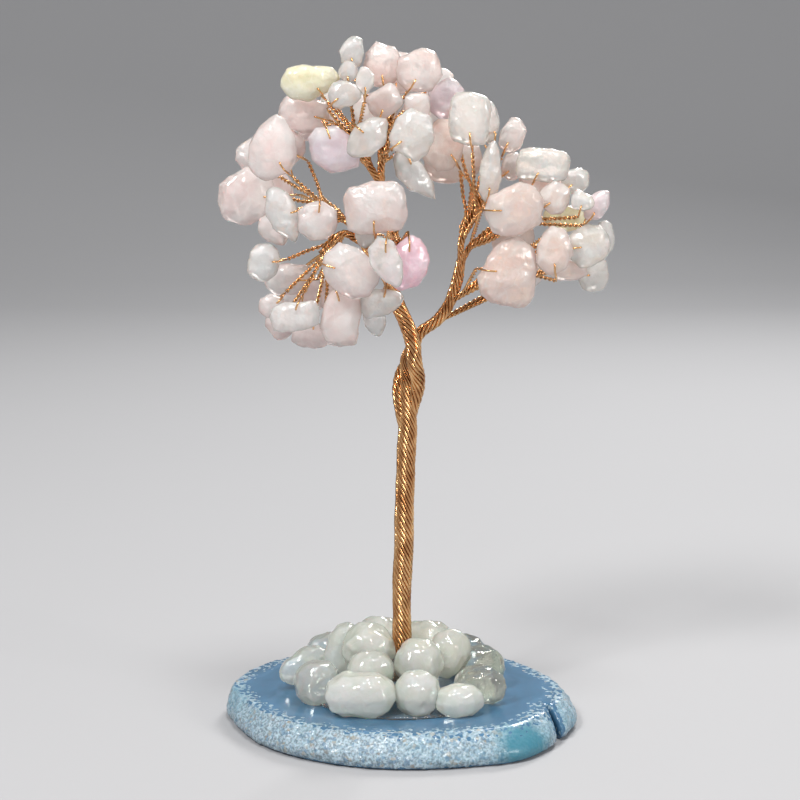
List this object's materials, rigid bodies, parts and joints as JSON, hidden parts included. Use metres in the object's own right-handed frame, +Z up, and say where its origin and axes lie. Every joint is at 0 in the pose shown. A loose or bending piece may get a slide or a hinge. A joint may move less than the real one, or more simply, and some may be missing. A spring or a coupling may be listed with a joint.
{
  "type": "gemstone tree ornament",
  "caption": "Wire tree ornament: a twisted copper-wire trunk forks into bendable branches that carry drilled, tumbled quartz stones, and stands among glued pebbles on an agate slice.",
  "frame": {"origin": "on the table, at the middle of the trunk's foot, in the slice's underside", "axes": "+Z up along the trunk, +X to the right and +Y away, as the picture's viewer sees the tree"},
  "size_m": [0.0875, 0.0756, 0.1545],
  "materials": {
    "blue_agate": "polished top, rough rim",
    "clear_glue": "clear, glossy",
    "milky_quartz": "tumbled, glossy",
    "copper_wire": "bright drawn copper",
    "rose_quartz": "tumbled, glossy",
    "clear_quartz": "tumbled, glossy",
    "pink_quartz": "tumbled, glossy",
    "cream_quartz": "tumbled, glossy",
    "mauve_quartz": "tumbled, glossy",
    "peach_quartz": "tumbled, glossy"
  },
  "bodies": {
    "base": {"agate_slice": "blue_agate", "glue_bed": "clear_glue", "trunk_bundle": "copper_wire", "root_wires": "copper_wire", "front_pebbles": "milky_quartz", "right_pebbles": "milky_quartz", "left_pebbles": "milky_quartz", "back_pebbles": "milky_quartz", "upper_pebbles": "milky_quartz"},
    "left_bough": {"left_bough": "copper_wire"},
    "right_bough": {"right_bough": "copper_wire"},
    "left_limb": {"left_limb": "copper_wire"},
    "top_limb": {"top_limb": "copper_wire"},
    "far_left_spray": {"far_left_clear_stone": "clear_quartz", "far_left_rose_stones": "rose_quartz", "far_left_stem": "copper_wire", "far_left_wires": "copper_wire"},
    "low_left_spray": {"low_left_clear_stones": "clear_quartz", "low_left_rose_stones": "rose_quartz", "low_left_stem": "copper_wire", "low_left_wires": "copper_wire"},
    "centre_spray": {"centre_clear_stones": "clear_quartz", "centre_rose_stone": "rose_quartz", "centre_stem": "copper_wire", "centre_wires": "copper_wire"},
    "top_left_spray": {"top_left_clear_stones": "clear_quartz", "top_left_rose_stones": "rose_quartz", "top_left_stem": "copper_wire", "top_left_wires": "copper_wire"},
    "top_spray": {"top_clear_stones": "clear_quartz", "top_rose_stones": "rose_quartz", "top_stem": "copper_wire", "top_wires": "copper_wire"},
    "upper_right_spray": {"upper_right_clear_stones": "clear_quartz", "upper_right_peach_stones": "peach_quartz", "upper_right_rose_stones": "rose_quartz", "upper_right_stem": "copper_wire", "upper_right_wires": "copper_wire"},
    "right_spray": {"right_clear_stones": "clear_quartz", "right_rose_stones": "rose_quartz", "right_stem": "copper_wire", "right_wires": "copper_wire"},
    "low_right_spray": {"low_right_clear_stones": "clear_quartz", "low_right_rose_stones": "rose_quartz", "low_right_stem": "copper_wire", "low_right_wires": "copper_wire"},
    "lowest_right_spray": {"lowest_right_clear_stone": "clear_quartz", "lowest_right_rose_stones": "rose_quartz", "lowest_right_stem": "copper_wire", "lowest_right_wires": "copper_wire"},
    "centre_pink_stone": {"centre_pink_stone": "pink_quartz"},
    "top_left_cream_stone": {"top_left_cream_stone": "cream_quartz"},
    "top_left_mauve_stone": {"top_left_mauve_stone": "mauve_quartz"},
    "upper_right_mauve_stone": {"upper_right_mauve_stone": "mauve_quartz"},
    "right_mauve_stone": {"right_mauve_stone": "mauve_quartz"},
    "right_cream_stone": {"right_cream_stone": "cream_quartz"}
  },
  "joints": [
    {"name": "left_bough_bend", "type": "hinge", "parent": "base", "child": "left_bough", "pos_m": [0.00286, -0.00329, 0.08341], "axis": [0, -1, 0], "range_deg": [0, 12]},
    {"name": "right_bough_bend", "type": "hinge", "parent": "base", "child": "right_bough", "pos_m": [0.00256, 0.00284, 0.08335], "axis": [0, 1, 0], "range_deg": [0, 12]},
    {"name": "left_limb_bend", "type": "hinge", "parent": "left_bough", "child": "left_limb", "pos_m": [-0.00472, -0.00205, 0.10439], "axis": [0, 0, 1], "range_deg": [-3, 1]},
    {"name": "top_limb_bend", "type": "hinge", "parent": "left_bough", "child": "top_limb", "pos_m": [-0.00266, 0.00225, 0.10468], "axis": [1, 0, 0], "range_deg": [-5, 0]},
    {"name": "far_left_bend", "type": "hinge", "parent": "left_limb", "child": "far_left_spray", "pos_m": [-0.0121, -0.00126, 0.11425], "axis": [0, 0, 1], "range_deg": [-4, 15]},
    {"name": "low_left_bend", "type": "hinge", "parent": "left_limb", "child": "low_left_spray", "pos_m": [-0.01283, -0.00245, 0.11165], "axis": [1, 0, 0], "range_deg": [0, 10]},
    {"name": "centre_bend", "type": "hinge", "parent": "left_bough", "child": "centre_spray", "pos_m": [-0.00222, -0.00292, 0.09901], "axis": [1, 0, 0], "range_deg": [-3, 14]},
    {"name": "top_left_bend", "type": "hinge", "parent": "top_limb", "child": "top_left_spray", "pos_m": [-0.00683, 0.00103, 0.12586], "axis": [1, 0, 0], "range_deg": [0, 12]},
    {"name": "top_bend", "type": "hinge", "parent": "top_limb", "child": "top_spray", "pos_m": [-0.00458, 0.00297, 0.12668], "axis": [1, 0, 0], "range_deg": [-10, 0]},
    {"name": "upper_right_bend", "type": "hinge", "parent": "right_bough", "child": "upper_right_spray", "pos_m": [0.01322, 0.00049, 0.10999], "axis": [0, 0, 1], "range_deg": [-8, 0]},
    {"name": "right_bend", "type": "hinge", "parent": "right_bough", "child": "right_spray", "pos_m": [0.01513, 0.00275, 0.10834], "axis": [0, 0, 1], "range_deg": [-1, 5]},
    {"name": "low_right_bend", "type": "hinge", "parent": "right_bough", "child": "low_right_spray", "pos_m": [0.01264, 0.00032, 0.09755], "axis": [1, 0, 0], "range_deg": [0, 4]},
    {"name": "lowest_right_bend", "type": "hinge", "parent": "right_bough", "child": "lowest_right_spray", "pos_m": [0.00943, 0.00303, 0.09231], "axis": [0, 1, 0], "range_deg": [0, 14]},
    {"name": "centre_pink_stone_swivel", "type": "hinge", "parent": "centre_spray", "child": "centre_pink_stone", "pos_m": [0.00136, -0.01175, 0.10889], "axis": [0.1045, -0.9945, 0], "range_deg": [-10, 10]},
    {"name": "top_left_cream_stone_swivel", "type": "hinge", "parent": "top_left_spray", "child": "top_left_cream_stone", "pos_m": [-0.01859, -0.00177, 0.14319], "axis": [0.1736, -0.9848, 0], "range_deg": [-10, 10]},
    {"name": "top_left_mauve_stone_swivel", "type": "hinge", "parent": "top_left_spray", "child": "top_left_mauve_stone", "pos_m": [-0.01562, -0.00637, 0.13263], "axis": [0.1045, -0.9945, 0], "range_deg": [-10, 2]},
    {"name": "upper_right_mauve_stone_swivel", "type": "hinge", "parent": "upper_right_spray", "child": "upper_right_mauve_stone", "pos_m": [0.01035, 0.00438, 0.13886], "axis": [0.1392, -0.9903, 0], "range_deg": [-10, 10]},
    {"name": "right_mauve_stone_swivel", "type": "hinge", "parent": "right_spray", "child": "right_mauve_stone", "pos_m": [0.04186, -0.00019, 0.1162], "axis": [0.1736, -0.9848, 0], "range_deg": [-10, 10]},
    {"name": "right_cream_stone_swivel", "type": "hinge", "parent": "right_spray", "child": "right_cream_stone", "pos_m": [0.03392, 0.00627, 0.11446], "axis": [0, -1, 0], "range_deg": [-6, 6]}
  ]
}
